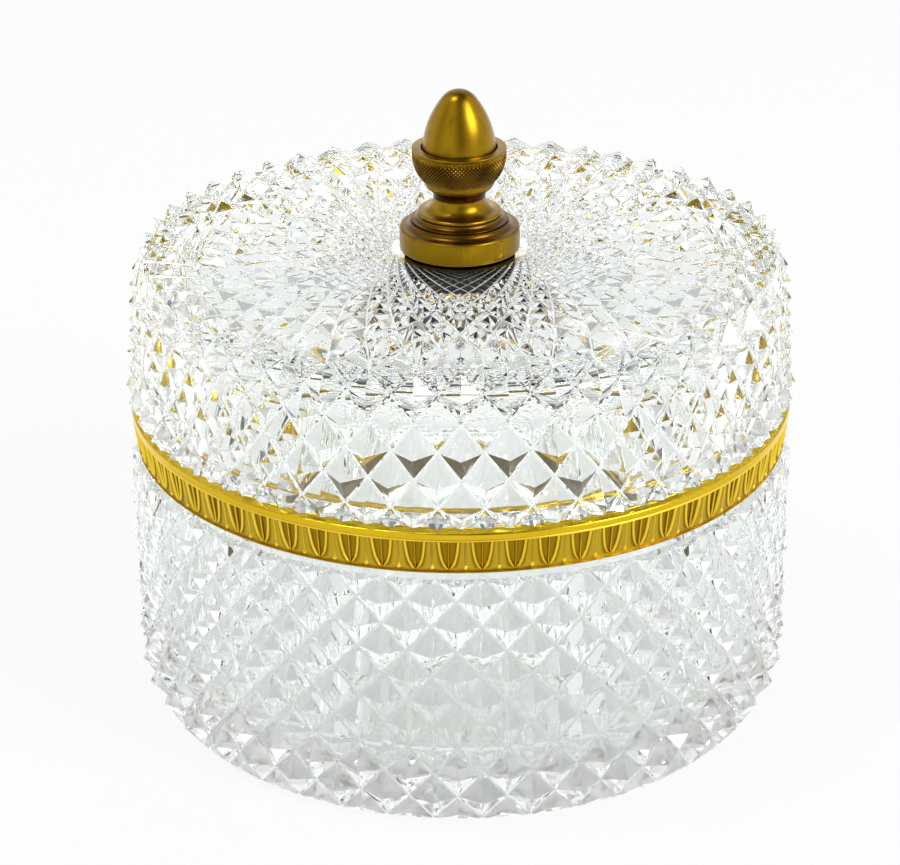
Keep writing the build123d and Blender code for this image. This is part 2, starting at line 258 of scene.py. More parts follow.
def diamond_skin(bm, count, crossings, points, phase):
    """Rows of four-sided points between groove crossings, each row given as (radius, height)."""
    half_turn = pi / count
    for row in range(1, len(crossings) - 1):
        middle = half_turn * ((row + phase) % 2)
        corners = [
            bm.verts.new(on_circle(*crossings[row - 1], middle)),
            bm.verts.new(on_circle(*crossings[row], middle + half_turn)),
            bm.verts.new(on_circle(*crossings[row + 1], middle)),
            bm.verts.new(on_circle(*crossings[row], middle - half_turn)),
        ]
        point = bm.verts.new(on_circle(*points[row], middle))
        for here, there in zip(corners, corners[1:] + corners[:1]):
            bm.faces.new((here, there, point))
    pattern_round(bm, count)
    bmesh.ops.recalc_face_normals(bm, faces=bm.faces)


def bevel_bends(bm, offset, offset_type, grooves, segments):
    """Bevels the grooves or the ridges, told apart by which way the faces bend."""
    edges = []
    for edge in bm.edges:
        if len(edge.link_faces) == 2:
            bend = edge.calc_face_angle_signed()
            if abs(bend) > LEAST_BEND and (bend < 0) == grooves:
                edges.append(edge)
    bevel = bmesh.ops.bevel(
        bm,
        geom=edges,
        offset=offset,
        offset_type=offset_type,
        affect="EDGES",
        segments=segments,
        profile=0.5,
        material=-1,
        clamp_overlap=True,
    )
    return bevel["faces"]


def close_crossings(bm, radius, height, reach):
    """Draws the bevels at each crossing of one row together to a point."""
    near = []
    for vert in bm.verts:
        if hypot(hypot(vert.co.x, vert.co.y) - radius, vert.co.z - height) < reach:
            near.append(vert)
    bmesh.ops.remove_doubles(bm, verts=near, dist=reach)


def open_edges(bm, height, tolerance=0.02 * MM):
    """Edges with one face whose ends lie at a height."""
    found = []
    for edge in bm.edges:
        if edge.is_boundary and all(abs(vert.co.z - height) < tolerance for vert in edge.verts):
            found.append(edge)
    return found


def sweep_rim(bm, edges, profile):
    """Carries an open rim along a (radius, height) profile, with each of its points kept at its own angle."""
    for radius, height in profile:
        grown = bmesh.ops.extrude_edge_only(bm, edges=edges)["geom"]
        edges = [part for part in grown if isinstance(part, bmesh.types.BMEdge)]
        for vert in {vert for edge in edges for vert in edge.verts}:
            share = radius / hypot(vert.co.x, vert.co.y)
            vert.co = (vert.co.x * share, vert.co.y * share, height)
    merge_close(bm)


def close_skin(bm, cut_faces):
    """Turned faces are smooth, cut facets flat, and every face looks outwards."""
    bmesh.ops.recalc_face_normals(bm, faces=bm.faces)
    for face in bm.faces:
        face.smooth = face not in cut_faces


def turned(name, profile, body, nodes, material):
    """A piece of revolution from a (radius, height) profile, which closes on itself or on the axis."""
    bm = bmesh.new()
    on_axis = profile[0][0] == 0
    spin_profile(bm, profile if on_axis else profile + profile[:1], TURNED_STEPS)
    close_skin(bm, ())
    return new_piece(name, bm, body, nodes, [material])


# Shader maths: a socket that takes part in Python arithmetic
class Signal:
    def __init__(self, finish, socket):
        self.finish = finish
        self.socket = socket

    def maths(self, operation, *values):
        return self.finish.add("ShaderNodeMath", {"operation": operation}, dict(enumerate(values)))

    def __add__(self, other):
        return self.maths("ADD", self, other)

    def __sub__(self, other):
        return self.maths("SUBTRACT", self, other)

    def __rsub__(self, other):
        return self.maths("SUBTRACT", other, self)

    def __mul__(self, other):
        return self.maths("MULTIPLY", self, other)

    def __abs__(self):
        return self.maths("ABSOLUTE", self)

    __radd__ = __add__
    __rmul__ = __mul__

    def over(self, low, high):
        """0 below low, 1 above high, smooth between."""
        settings = {"interpolation_type": "SMOOTHSTEP"}
        sockets = {"Value": self, "From Min": low, "From Max": high}
        return self.finish.add("ShaderNodeMapRange", settings, sockets)

    def near(self, centre, reach):
        """1 at the centre, 0 further off than the reach."""
        return 1 - abs(self - centre).over(0, reach)


class Finish:
    """A node tree with one method that adds any node."""

    def __init__(self, owner):
        owner.use_nodes = True
        self.owner = owner
        self.tree = owner.node_tree
        self.tree.nodes.clear()

    def add(self, kind, settings=None, sockets=None, output=0):
        node = self.tree.nodes.new(kind)
        for name, value in (settings or {}).items():
            setattr(node, name, value)
        for name, value in (sockets or {}).items():
            if isinstance(value, Signal):
                self.tree.links.new(value.socket, node.inputs[name])
            else:
                node.inputs[name].default_value = value
        return Signal(self, node.outputs[output]) if len(node.outputs) else node

    def mix(self, share, first, second):
        """Colour mix: input 0 is the share, inputs 6 and 7 are the colours."""
        return self.add("ShaderNodeMix", {"data_type": "RGBA"}, {0: share, 6: first, 7: second}, output=2)

    def place(self):
        return self.add("ShaderNodeTexCoord", output=3)

    def noise(self, scale, detail=2.0, roughness=0.5, stretch=(1, 1, 1)):
        place = self.add("ShaderNodeMapping", None, {"Vector": self.place(), "Scale": stretch})
        sockets = {"Vector": place, "Scale": scale, "Detail": detail, "Roughness": roughness}
        return self.add("ShaderNodeTexNoise", None, sockets)

    def height(self):
        return self.add("ShaderNodeSeparateXYZ", None, {0: self.place()}, output=2)

    def attribute(self, name):
        return self.add("ShaderNodeAttribute", {"attribute_name": name}, output=2)

    def bump(self, signal, strength, distance):
        sockets = {"Height": signal, "Strength": strength, "Distance": distance}
        return self.add("ShaderNodeBump", None, sockets)

    def principled(self, sockets):
        shader = self.add("ShaderNodeBsdfPrincipled", None, sockets)
        self.add("ShaderNodeOutputMaterial", None, {"Surface": shader})
        return self.owner


def colour(red, green, blue):
    return (red, green, blue, 1)


# Finishes
def crystal_finish():
    finish = Finish(bpy.data.materials.new("cut_crystal"))
    waves = finish.noise(160, 1.0)
    return finish.principled({
        "Base Color": colour(0.962, 0.99, 0.976),
        "Roughness": 0.0,
        "IOR": CRYSTAL_IOR,
        "Transmission Weight": 1.0,
        "Normal": finish.bump(waves, 0.06, 0.4 * MM),
    })


def ground_finish():
    finish = Finish(bpy.data.materials.new("ground_crystal"))
    shaders = []
    for roughness in (0.0, GROUND_ROUGHNESS):
        sockets = {
            "Base Color": colour(0.98, 0.99, 0.985),
            "Roughness": roughness,
            "IOR": CRYSTAL_IOR,
            "Transmission Weight": 1.0,
        }
        shaders.append(finish.add("ShaderNodeBsdfPrincipled", None, sockets))
    shader = finish.add("ShaderNodeMixShader", None, {0: GROUND_SHARE, 1: shaders[0], 2: shaders[1]})
    finish.add("ShaderNodeOutputMaterial", None, {"Surface": shader})
    return finish.owner


def groove_finish():
    finish = Finish(bpy.data.materials.new("matt_groove"))
    return finish.principled({
        "Base Color": colour(0.97, 0.98, 0.975),
        "Roughness": 0.45,
        "IOR": CRYSTAL_IOR,
        "Transmission Weight": 0.5,
    })


def frieze_finish():
    finish = Finish(bpy.data.materials.new("matt_gilt"))
    relief = finish.attribute("relief")
    cloud = finish.noise(90, 4.0, 0.6)
    grain = finish.noise(1600, 3.0, 0.6)
    # Painted light and shade: a lit copy of the gilt on raised parts and a shaded copy in the ground and
    # hollows, picked by the relief layer
    bright = finish.mix(cloud, colour(0.92, 0.62, 0.035), colour(1.0, 0.75, 0.08))
    painted_shade_gilt = finish.mix(cloud, colour(0.20, 0.12, 0.003), colour(0.37, 0.23, 0.006))
    return finish.principled({
        "Base Color": finish.mix(relief.over(-0.4, 0.8), painted_shade_gilt, bright),
        "Metallic": 1.0,
        "Roughness": 0.30 + 0.16 * cloud,
        "Normal": finish.bump(grain, 0.12, 0.1 * MM),
    })


def ledge_finish():
    finish = Finish(bpy.data.materials.new("polished_gilt"))
    cloud = finish.noise(120, 4.0, 0.6)
    return finish.principled({
        "Base Color": finish.mix(cloud, colour(0.66, 0.44, 0.010), colour(0.82, 0.56, 0.024)),
        "Metallic": 1.0,
        "Roughness": 0.14 + 0.14 * cloud,
    })


def brass_finish():
    finish = Finish(bpy.data.materials.new("brass_patina_and_shade"))
    cloud = finish.noise(150, 4.0, 0.6)
    lathe = finish.noise(900, 2.0, 0.5, (0.1, 0.1, 1.0))
    height = finish.height()
    base_z = cup_low.z - CUP_DROP
    waist_z = base_z - WAIST_SHOW
    # Darker bands by height, each with its reach and its weight: painted shade on the foot's top round the
    # ring, and darker knurling, a darker edge of the lip and patina at the tip
    patina_and_shade_bands = (
        (foot_low.z + FOOT_HEIGHT + 1.25 * MM, 2.3 * MM, 1.5),
        ((base_z + cup_high.z) / 2, 6.5 * MM, 0.4),
        (cup_high.z - CUP_PLAIN_LIP, 0.4 * MM, 0.5),
        (acorn_high.z, 1.5 * MM, 0.5),
    )
    patina_and_shade = 0.5 * cloud.over(0.5, 0.7)
    for middle_z, reach, weight in patina_and_shade_bands:
        patina_and_shade = patina_and_shade + weight * height.near(middle_z, reach)
    tone = finish.mix(patina_and_shade.over(0, 1.1), colour(0.31, 0.18, 0.004), colour(0.13, 0.058, 0.003))
    # Painted shade, nearly black: the waist under the cup and the crossings of the knurling's grooves
    waist_shade = height.over(waist_z - 2 * WAIST_EDGE, waist_z + 2 * WAIST_EDGE)
    waist_shade = waist_shade * (1 - height.over(base_z - WAIST_EDGE, base_z + WAIST_EDGE))
    painted_shade = finish.attribute("groove").over(0.1, 1) + waist_shade
    tone = finish.mix(painted_shade, tone, colour(0.045, 0.012, 0.002))
    return finish.principled({
        "Base Color": tone,
        "Metallic": 1.0,
        "Roughness": 0.24 + 0.14 * cloud,
        "Coat Weight": 0.08,
        "Coat Roughness": 0.3,
        "Normal": finish.bump(lathe, 0.06, 0.1 * MM),
    })


def felt_finish():
    finish = Finish(bpy.data.materials.new("navy_felt"))
    fibres = finish.noise(2500, 4.0, 0.7)
    return finish.principled({
        "Base Color": finish.mix(fibres, colour(0.003, 0.004, 0.016), colour(0.010, 0.013, 0.040)),
        "Roughness": 0.9,
        "Specular IOR Level": 0.0,
        "Normal": finish.bump(fibres, 0.3, 0.2 * MM),
    })


def steel_finish():
    finish = Finish(bpy.data.materials.new("blued_steel"))
    cloud = finish.noise(300, 3.0, 0.6)
    return finish.principled({
        "Base Color": finish.mix(cloud, colour(0.03, 0.035, 0.06), colour(0.08, 0.08, 0.12)),
        "Metallic": 1.0,
        "Roughness": 0.3 + 0.2 * cloud,
    })


def cement_finish():
    finish = Finish(bpy.data.materials.new("brown_cement"))
    cloud = finish.noise(400, 4.0, 0.6)
    return finish.principled({
        "Base Color": finish.mix(cloud, colour(0.36, 0.25, 0.09), colour(0.50, 0.37, 0.15)),
        "Roughness": 0.7,
    })


crystal = crystal_finish()
ground_crystal = ground_finish()
matt_groove = groove_finish()
matt_gilt = frieze_finish()
polished_gilt = ledge_finish()
brass_patina_and_shade = brass_finish()
navy_felt = felt_finish()
blued_steel = steel_finish()
cement = cement_finish()


# Bowl
def make_bowl():
    tip = bowl_high.x
    groove = tip - BOWL_CUT_DEPTH
    neck = groove - NECK_STEP
    inner = groove - BOWL_WALL
    neck_z = BOWL_FIRST_ROW + (BOWL_ROWS - 1) * BOWL_ROW_PITCH + NECK_RISE
    rim_z = bowl_high.z
    crossings = [(tip - BOWL_FOOT_INSET, 0), (groove - BOWL_FOOT_TAPER, 0)]
    points = [None, (tip - BOWL_FOOT_TIP_INSET, BOWL_FOOT_TIP)]
    for row in range(BOWL_ROWS + 2):
        row_z = BOWL_FIRST_ROW + row * BOWL_ROW_PITCH
        crossings.append((groove, row_z))
        points.append((tip, row_z))
    bm = bmesh.new()
    diamond_skin(bm, BOWL_DIAMONDS, crossings, points, 1)
    bmesh.ops.rotate(bm, verts=bm.verts, matrix=Matrix.Rotation(BOWL_TURN, 3, "Z"))
    bevel_bends(bm, BOWL_GROOVE_SHARE, "PERCENT", True, 2)
    bevel_bends(bm, RIDGE_WIDTH, "WIDTH", False, 1)
    skin = bm.verts[:] + bm.edges[:] + bm.faces[:]
    bmesh.ops.bisect_plane(bm, geom=skin, plane_co=(0, 0, neck_z), plane_no=(0, 0, 1), clear_outer=True)
    skin = bm.verts[:] + bm.edges[:] + bm.faces[:]
    bmesh.ops.bisect_plane(bm, geom=skin, plane_co=(0, 0, 0), plane_no=(0, 0, 1), clear_inner=True)
    cut_faces = set(bm.faces)
    sweep_rim(bm, open_edges(bm, 0, BOWL_FOOT_TIP / 4), [(neck - BOWL_FOOT_INSET, 0), (0, 0)])
    profile = [(neck, neck_z), (neck, cement_low.z)]
    profile += corner((neck, rim_z), RIM_ROUNDING, 0, 90)
    profile += corner((inner, rim_z), RIM_ROUNDING, 90, 180)
    fillet = BOWL_FLOOR_FILLET
    profile += arc((inner - fillet, BOWL_FLOOR + fillet), (fillet, fillet), 0, -90, 12)
    profile.append((0, BOWL_FLOOR))
    sweep_rim(bm, open_edges(bm, neck_z), profile)
    close_skin(bm, cut_faces)
    # The cement is bonded to the neck and the rim, and the foot is ground
    for face in bm.faces:
        middle = face.calc_center_median()
        if middle.z > cement_low.z and hypot(middle.x, middle.y) > inner + RIM_ROUNDING / 4:
            face.material_index = 1
        elif face.normal.z < -0.9 and middle.z < BOWL_FOOT_TIP / 4:
            face.material_index = 2
    return new_piece("bowl_crystal", bm, "base", ["bowl"], [crystal, cement, ground_crystal])


# Lid
def lid_rows(ledge_z, groove, land_z):
    """Groove crossings and points up the side, over the shoulder and along the grooves of the top."""
    crossings = []
    points = []
    for row in range(-2, LID_ROWS):
        row_z = ledge_z + LID_FIRST_ROW + row * LID_ROW_PITCH
        radius = groove - LID_LEAN * row * LID_ROW_PITCH
        crossings.append((radius, row_z))
        points.append((radius + LID_CUT_DEPTH, row_z - LID_TIP_DROP))
    shoulder = crossings[-1][0] - SHOULDER_INSET
    shoulder_z = crossings[-1][1] + SHOULDER_RISE
    crossings.append((shoulder, shoulder_z))
    points.append((shoulder + SHOULDER_TIP_OUT, shoulder_z + SHOULDER_TIP_UP))
    land = foot_high.x + TOP_LAND_SHOW
    radii = [shoulder]
    radius = shoulder - TOP_FIRST_ROW
    while radius > land:
        radii.append(radius)
        circle = TOP_GROOVE_SHARE * land + TOP_GROOVE_SPREAD * (radius - land)
        radius = circle / cos(acos(circle / radius) - pi / LID_DIAMONDS)
    slope = (shoulder_z - land_z) / (shoulder - radii[-1])
    for outer, here, inner in zip(radii, radii[1:], radii[2:]):
        half_width = here * sin(pi / LID_DIAMONDS)
        half_length = (outer - inner) / 2
        rise = tan(TOP_FACET_ANGLE) * half_width * half_length / hypot(half_width, half_length)
        here_z = shoulder_z - slope * (shoulder - here)
        crossings.append((here, here_z))
        points.append((here, here_z + rise))
    crossings.append((radii[-1], land_z))
    return crossings, points


def make_lid():
    ledge_z = lid_low.z
    land_z = gasket_low.z
    under_z = pad_high.z
    rim = ring_high.x - LEDGE_SHOW
    rim_z = ledge_z + LID_RIM_HEIGHT
    groove = rim + LID_RIM_STEP
    inner = groove - LID_WALL
    hole = stud_high.x + STUD_CLEARANCE
    crossings, points = lid_rows(ledge_z, groove, land_z)
    bm = bmesh.new()
    diamond_skin(bm, LID_DIAMONDS, crossings, points, 0)
    for face in bevel_bends(bm, LID_GROOVE_SHARE, "PERCENT", True, 2):
        middle = face.calc_center_median()
        if hypot(middle.x, middle.y) < NET_REACH:
            face.material_index = 3
    shoulder = max(crossings, key=lambda place: place[1])
    close_crossings(bm, *shoulder, SHOULDER_POINT)
    bevel_bends(bm, RIDGE_WIDTH, "WIDTH", False, 1)
    skin = bm.verts[:] + bm.edges[:] + bm.faces[:]
    bmesh.ops.bisect_plane(bm, geom=skin, plane_co=(0, 0, rim_z), plane_no=(0, 0, 1), clear_inner=True)
    cut_faces = set(bm.faces)
    base_z = ledge_z + SEAT_GAP
    profile = [(rim, rim_z)]
    profile += corner((rim, base_z), RIM_ROUNDING, 0, -90)
    profile += corner((inner, base_z), RIM_ROUNDING, 270, 180)
    fillet = LID_INNER_FILLET
    profile += arc((inner - fillet, under_z - fillet), (fillet, fillet), 0, 90, 12)
    profile += [(pad_high.x, under_z), (hole, under_z), (hole, land_z)]
    profile += [(gasket_high.x, land_z), (foot_high.x + TOP_LAND_SHOW / 2, land_z)]
    sweep_rim(bm, open_edges(bm, rim_z), profile)
    bmesh.ops.triangle_fill(bm, use_beauty=True, edges=open_edges(bm, land_z, 0.15 * MM), normal=(0, 0, 1))
    close_skin(bm, cut_faces)
    # The soft washers are bonded to the crystal, so their colour shows in it without an air gap,
    # and the rim is ground where it sits on the ledge
    for face in bm.faces:
        middle = face.calc_center_median()
        washer = abs(face.normal.z) > 0.99 and hypot(middle.x, middle.y) < gasket_high.x
        if washer and face not in cut_faces:
            face.material_index = 1
        elif face.normal.z < -0.9 and middle.z < base_z + RIM_ROUNDING / 4:
            face.material_index = 2
    finishes = [crystal, navy_felt, ground_crystal, matt_groove]
    return new_piece("lid_crystal", bm, "cover", ["lid"], finishes)


# Frieze of leaves and darts
def half_leaf(up):
    """Places from the vein to the dart at one height, each as (across, relief, tone), the tone being painted
    light and shade.
    """
    rise = max(0.0, (up - LEAF_FOOT) / (1 - LEAF_FOOT))
    half = max(LEAF_LEAST, LEAF_HALF * rise**LEAF_CURVE * (1 + LEAF_WAIST - LEAF_WAIST * rise))
    rim = min(LEAF_RIM, RIM_MOST * half)
    inside = half - rim
    vein = min(LEAF_VEIN, inside / 2)
    leaf = min(1.0, rise / LEAF_START)
    section = [0, vein / 2, vein, (vein + inside) / 2, inside]
    section += [inside + share * rim for share in RIM_PLACES]
    section.append(half)
    places = []
    for across, (relief, tone) in zip(section, LEAF_SECTION):
        places.append((across, relief * leaf, tone * leaf))
    ground = 0.5 - BALL_REACH
    places.append(((half + ground) / 2, 0, GROUND_PAINTED_SHADE))
    for aside in (BALL_REACH, 0.66 * BALL_REACH, DART_HALF, 0.5 * DART_HALF, 0):
        ball = max(0.0, 1 - (aside / BALL_REACH) ** 2 - ((up - BALL_HEIGHT) / BALL_REACH) ** 2)
        on_dart = up > BALL_HEIGHT and aside < DART_HALF
        dart = DART_RELIEF * (1 - aside / DART_HALF) if on_dart else 0
        height = max(dart, BALL_RELIEF * sqrt(ball))
        places.append((0.5 - aside, height, max(height, GROUND_PAINTED_SHADE)))
    return places


def make_frieze():
    inner = ring_high.x - BAND_FLARE - BAND_WALL
    lip = ring_high.x - BAND_FLARE
    top = ring_high.x
    low_z = band_low.z
    high_z = band_high.z
    ground_low = low_z + BAND_LIP
    ground_high = high_z - BAND_STRIP
    below = [(inner, low_z), (lip - SHARP, low_z), (lip, low_z + SHARP), (lip, ground_low - SHARP)]
    above = [(top - SHARP, ground_high), (top, ground_high + SHARP), (top, high_z - SHARP)]
    above += [(top - SHARP, high_z), (inner, high_z)]
    bm = bmesh.new()
    # The relief layer holds painted light and shade: lighter on the raised rims, darts and balls, darker in
    # the ground, the hollows and at the rims' feet
    painted_light_and_shade_layer = bm.verts.layers.float.new("relief")
    # Rows of the section as (radius, height, height in the frieze, relief, tone), the tone being painted
    # light and shade
    rings = [(radius, height, 0, 0, GROUND_PAINTED_SHADE) for radius, height in below]
    for row in range(LEAF_ROWS + 1):
        up = row / LEAF_ROWS
        ground = lip - BAND_RECESS + BAND_FLARE * up
        ground_z = ground_low + (ground_high - ground_low) * up
        rings.append((ground, ground_z, up, 1, None))
    rings += [(radius, height, 1, 0, 1.0) for radius, height in above]
    grid = []
    for radius, height, up, depth, plain in rings:
        right = half_leaf(up)
        left = [(-across, relief, tone) for across, relief, tone in reversed(right[1:])]
        verts = []
        for across, relief, tone in left + right:
            turn = (across + LEAF_TURN) * 2 * pi / LEAVES
            vert = bm.verts.new(on_circle(radius + depth * LEAF_RELIEF * relief, height, turn))
            vert[painted_light_and_shade_layer] = tone if plain is None else plain
            verts.append(vert)
        grid.append(verts)
    for lower, upper in zip(grid, grid[1:] + grid[:1]):
        for column in range(len(lower) - 1):
            bm.faces.new((lower[column], lower[column + 1], upper[column + 1], upper[column]))
    pattern_round(bm, LEAVES)
    close_skin(bm, ())
    return new_piece("frieze", bm, "base", ["frieze_band"], [matt_gilt], radians(50))


# Seat ring with its ledge and bezel
def make_seat():
    outer = ring_high.x
    ledge_z = lid_low.z
    bezel_top = ledge_z + BEZEL_SHOW
    groove = outer - LEDGE_SHOW
    bezel_inner = groove + LID_RIM_STEP - LID_WALL - LID_FIT - BEZEL_WALL
    bezel_outer = bezel_inner + BEZEL_WALL
    profile = [(bezel_inner, ring_low.z)]
    profile += corner((outer, ring_low.z), SHARP, -90, 0)
    profile += corner((outer, ledge_z), LEDGE_EDGE, 0, 90)
    profile.append((bezel_outer, ledge_z))
    profile += corner((bezel_outer, bezel_top), BEZEL_WALL / 3, 0, 90)
    profile += corner((bezel_inner, bezel_top), BEZEL_WALL / 3, 90, 180)
    return turned("seat", profile, "base", ["seat_ring"], polished_gilt)


# Cement bed, a hair clear of the faces that already carry its colour
def make_cement():
    outer = cement_high.x - SEAT_GAP
    neck = bowl_high.x - BOWL_CUT_DEPTH - NECK_STEP + SEAT_GAP
    inner = neck - BOWL_WALL + NECK_STEP
    rim_z = bowl_high.z + SEAT_GAP
    top_z = cement_high.z - SEAT_GAP
    profile = [(neck, cement_low.z), (outer, cement_low.z), (outer, top_z)]
    profile += [(inner, top_z), (inner, rim_z), (neck, rim_z)]
    return turned("cement_bed", profile, "base", ["collar_cement"], cement)


# Knob
def make_foot():
    hole = stud_high.x + STUD_CLEARANCE
    edge_z = foot_low.z + FOOT_HEIGHT
    step = FOOT_SLOPE_RADIUS
    profile = [(hole, foot_low.z)]
    profile += corner((foot_high.x, foot_low.z), 2 * SHARP, -90, 0)
    profile += corner((foot_high.x, edge_z), FOOT_EDGE, 0, 90)
    hollow = (foot_high.x - 2 * FOOT_EDGE - step, foot_high.z - edge_z)
    profile += arc((step + hollow[0], foot_high.z), hollow, -90, -180, 8)
    profile.append((hole, foot_high.z))
    foot = turned("foot_disc", profile, "cover", ["knob_foot"], brass_patina_and_shade)
    # The soft washer's colour covers the underside
    foot.data.materials.append(navy_felt)
    for face in foot.data.polygons:
        if face.normal.z < -0.99:
            face.material_index = 1


def make_neck():
    hole = stud_high.x + STUD_CLEARANCE
    ring_z = neck_low.z + RING_HEIGHT
    bell_z = ring_z + BEAD_HEIGHT
    waist_z = bell_z + BELL_HEIGHT
    top_z = neck_high.z - CUP_DROP
    step = FOOT_SLOPE_RADIUS - SHARP
    flare = CUP_BASE_RADIUS - WAIST_RADIUS
    profile = [(hole, neck_low.z)]
    profile += corner((step, neck_low.z + 3 * SHARP), SHARP, 0, 90)
    hollow = (step - SHARP - RING_RADIUS, RING_HEIGHT - 3 * SHARP)
    profile += arc((step - SHARP, ring_z), hollow, -90, -180, 6)
    bead = (RING_RADIUS - BELL_RADIUS, BEAD_HEIGHT / 2)
    profile += arc((BELL_RADIUS, ring_z + BEAD_HEIGHT / 2), bead, -60, 90, 8)
    profile += arc((BELL_RADIUS, waist_z), (BELL_RADIUS - WAIST_RADIUS, BELL_HEIGHT), -90, -180, 14)
    profile += arc((CUP_BASE_RADIUS, waist_z), (flare, top_z - waist_z), 180, 90, 6)
    profile.append((hole, top_z))
    return turned("neck_moulding", profile, "cover", ["knob_neck"], brass_patina_and_shade)


def make_cup():
    radius = cup_high.x
    shoulder_z = cup_high.z - CUP_LIP
    seat = acorn_high.x + 2 * SHARP
    centre = (CUP_ROUND, shoulder_z)
    radii = (radius - centre[0], shoulder_z - cup_low.z)
    crossings = []
    points = []
    for row in range(KNURL_ROWS + 1):
        angle = KNURL_FIRST + (KNURL_LAST - KNURL_FIRST) * row / KNURL_ROWS
        here = (centre[0] + radii[0] * cos(angle), centre[1] + radii[1] * sin(angle))
        crossings.append((here[0] - KNURL_DEPTH * cos(angle), here[1] - KNURL_DEPTH * sin(angle)))
        points.append(here)
    plain_z = cup_high.z - CUP_PLAIN_LIP
    for row in range(KNURL_LIP_ROWS):
        row_z = shoulder_z + (plain_z - shoulder_z) * (row + 1) / (KNURL_LIP_ROWS + 1)
        crossings.append((radius - KNURL_DEPTH, row_z))
        points.append((radius, row_z))
    bm = bmesh.new()
    groove_shade_layer = bm.verts.layers.float.new("groove")
    diamond_skin(bm, KNURLS, crossings, points, 0)
    cut_faces = set(bm.faces)
    base_z = cup_low.z - CUP_DROP
    knurl_end = points[0]
    slope = (knurl_end[0] - CUP_BASE_RADIUS, knurl_end[1] - base_z)
    below = arc((CUP_BASE_RADIUS, knurl_end[1]), slope, -6, -84, 8) + [(0, base_z)]
    above = [(radius - 2 * SHARP, plain_z)]
    above += corner((radius, plain_z + SHARP), SHARP, -90, 0)
    above += corner((radius, cup_high.z), SHARP, 0, 90)
    above += [(seat, cup_high.z), (seat, cup_high.z - ACORN_SINK), (0, cup_high.z - ACORN_SINK)]
    middle_z = (cup_low.z + cup_high.z) / 2
    lower = [edge for edge in bm.edges if edge.is_boundary and edge.verts[0].co.z < middle_z]
    sweep_rim(bm, lower, below)
    sweep_rim(bm, [edge for edge in bm.edges if edge.is_boundary], above)
    close_skin(bm, cut_faces)
    for vert in bm.verts:
        # Points of the knurling have four facets, groove crossings have eight; the crossings get painted
        # shade
        vert[groove_shade_layer] = float(len(vert.link_faces) > 4 and cut_faces.issuperset(vert.link_faces))
    return new_piece("knurled_cup", bm, "cover", ["acorn_cup"], [brass_patina_and_shade])


def make_acorn():
    """The acorn's side is an arc that runs into its round tip without a corner."""
    foot_z = cup_high.z - ACORN_SINK
    radius = acorn_high.x
    tip = ACORN_TIP_RADIUS
    rise = acorn_high.z - foot_z - tip
    side = (radius**2 + rise**2 - tip**2) / (2 * (radius - tip))
    turn = degrees(atan2(rise, side - radius))
    profile = [(0, foot_z)]
    profile += arc((radius - side, foot_z), (side, side), 0, turn, 24)
    profile += arc((0, foot_z + rise), (tip, tip), turn, 90, 16)
    return turned("acorn_nut", profile, "cover", ["acorn"], brass_patina_and_shade)


make_bowl()
make_lid()
make_frieze()
make_seat()
make_cement()
make_foot()
make_neck()
make_cup()
make_acorn()

for node, material in (
    ("foot_gasket", navy_felt),
    ("under_gasket", navy_felt),
    ("knob_stud", blued_steel),
    ("under_washer", blued_steel),
    ("under_nut", blued_steel),
):
    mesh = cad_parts[node].data
    mesh.materials.clear()
    mesh.materials.append(material)


# Camera at the photograph's angle, aimed at a point on the casket's axis
CAMERA_DISTANCE = 562.35 * MM
CAMERA_ELEVATION = radians(25.476)
CAMERA_ROLL = radians(-0.361)
AIM_HEIGHT = 57.88 * MM
LENS_MM = 96
SENSOR_MM = 36
AXIS_SHIFT = -0.01217


def make_camera():
    camera = bpy.data.cameras.new("camera")
    camera.lens = LENS_MM
    camera.sensor_width = SENSOR_MM
    camera.shift_x = AXIS_SHIFT
    camera.clip_start = 0.01
    seen_from = bpy.data.objects.new("camera", camera)
    tilt = Matrix.Rotation(pi / 2 - CAMERA_ELEVATION, 4, "X")
    roll = Matrix.Rotation(CAMERA_ROLL, 4, "Z")
    back = Matrix.Translation((0, 0, CAMERA_DISTANCE))
    seen_from.matrix_world = Matrix.Translation((0, 0, AIM_HEIGHT)) @ tilt @ back @ roll
    bpy.context.scene.collection.objects.link(seen_from)
    bpy.context.scene.camera = seen_from


# Studio
WALL_PANELS = 5
FLOOR_SIZE = 6.0
FLOOR_DROP = 0.2 * MM
FLOOR_GREY = 0.82
FLOOR_GLOW = 0.90                 # share of the floor's look that takes no shadow
FLOOR_GLOW_IN_GLASS = 0.18        # the same for what the crystal and the metal show of the floor
FLOOR_GLOW_BEHIND = 0.75          # added behind the casket
FLOOR_GLOW_UNDER = 0.56           # added under it, where the crystal would gather the light
UNDER_FRONT = 0.42                # share of that glow at the front of the casket
UNDER_RISE = 0.9                  # and what it gains towards the back
UNDER_DEPTHS = (-70 * MM, 90 * MM)
UNDER_INSIDE = 4 * MM             # the edge of that glow fades from inside the points to outside them
UNDER_OUTSIDE = 2 * MM
BEHIND_DEPTHS = (0.0, 60 * MM)
GLASS_GLOW_STRENGTH = 1.15        # makes up for the tint of the crystal in front of it

# Walls round the casket, as the crystal and the metal show them; heights and depths are of a direction
WALL_LEVEL = 1.05
GAP_SHADE = 0.42                  # between the panels
GAP_EDGES = (0.1, 0.6)
FRONT_SHADE = 0.6                 # at the front, a little to the right
FRONT_TURN = 0.3
FRONT_REACH = 0.6
BACKDROP_GLOW = 0.42
BACKDROP_DEPTHS = (0.7, 0.95)
BACKDROP_REACH = 0.35
HIGH_SHADE = 0.14                 # on the walls' upper part
HIGH_EDGES = (0.15, 0.5)
CEILING_SHADE = 0.78
CEILING_EDGES = (0.78, 0.90)

# Lamps as (place, size, power)
KEY_LAMP = ((1.40, -0.90, 1.20), (0.80, 0.90), 24)
FILL_LAMP = ((-0.65, -0.15, 1.9), (0.50, 0.50), 9)

BOUNCES = 36                      # through both walls of the lid and of the bowl, with reflections


